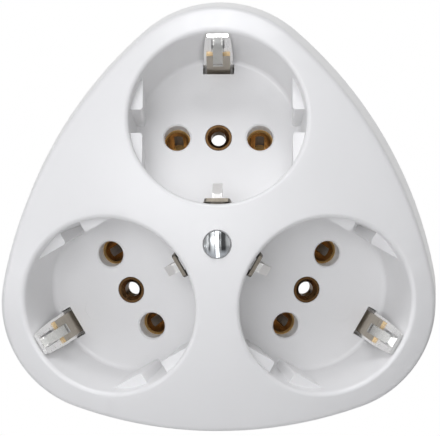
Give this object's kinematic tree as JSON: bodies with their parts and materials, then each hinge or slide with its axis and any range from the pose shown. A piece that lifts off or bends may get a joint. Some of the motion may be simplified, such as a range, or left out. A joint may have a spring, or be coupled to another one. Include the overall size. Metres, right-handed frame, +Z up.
{
  "type": "triple wall socket",
  "caption": "Wall socket with earthed round cups in a domed, rounded-triangular white housing over one wall box, with brass pin sleeves, sprung earth clips and a centre screw.",
  "frame": {"origin": "centre of the back, on the axis of the cover screw, in the plane of the wall", "axes": "+Z up on the wall, +X right seen from the front, -Y out of the wall towards the user"},
  "size_m": [0.1044, 0.0511, 0.1021],
  "materials": {
    "housing": "white moulded plastic, fine satin gloss",
    "insulator": "off-white moulded insulation",
    "plate": "pale grey moulded plastic",
    "contact_brass": "turned and punched brass",
    "clip_metal": "nickel-plated spring strip",
    "zinc_steel": "zinc-plated steel"
  },
  "bodies": {
    "root": {"front_cover": "housing", "rear_plate": "plate", "rear_plate_screws": "zinc_steel", "wall_bracket": "zinc_steel", "cover_screw": "zinc_steel", "carrier_screws": "zinc_steel", "cup_top": "housing", "eyelet_top": "contact_brass", "earth_strip_top": "clip_metal", "contact_carrier_top": "insulator", "live_sleeve_top": "contact_brass", "neutral_sleeve_top": "contact_brass", "cup_left": "housing", "eyelet_left": "contact_brass", "earth_strip_left": "clip_metal", "contact_carrier_left": "insulator", "live_sleeve_left": "contact_brass", "neutral_sleeve_left": "contact_brass", "cup_right": "housing", "eyelet_right": "contact_brass", "earth_strip_right": "clip_metal", "contact_carrier_right": "insulator", "live_sleeve_right": "contact_brass", "neutral_sleeve_right": "contact_brass", "live_busbar": "contact_brass", "live_terminal": "contact_brass", "live_terminal_screw": "zinc_steel", "neutral_busbar": "contact_brass", "neutral_terminal": "contact_brass", "neutral_terminal_screw": "zinc_steel", "earth_busbar": "contact_brass", "earth_terminal": "contact_brass", "earth_terminal_screw": "zinc_steel"}
  },
  "joints": []
}
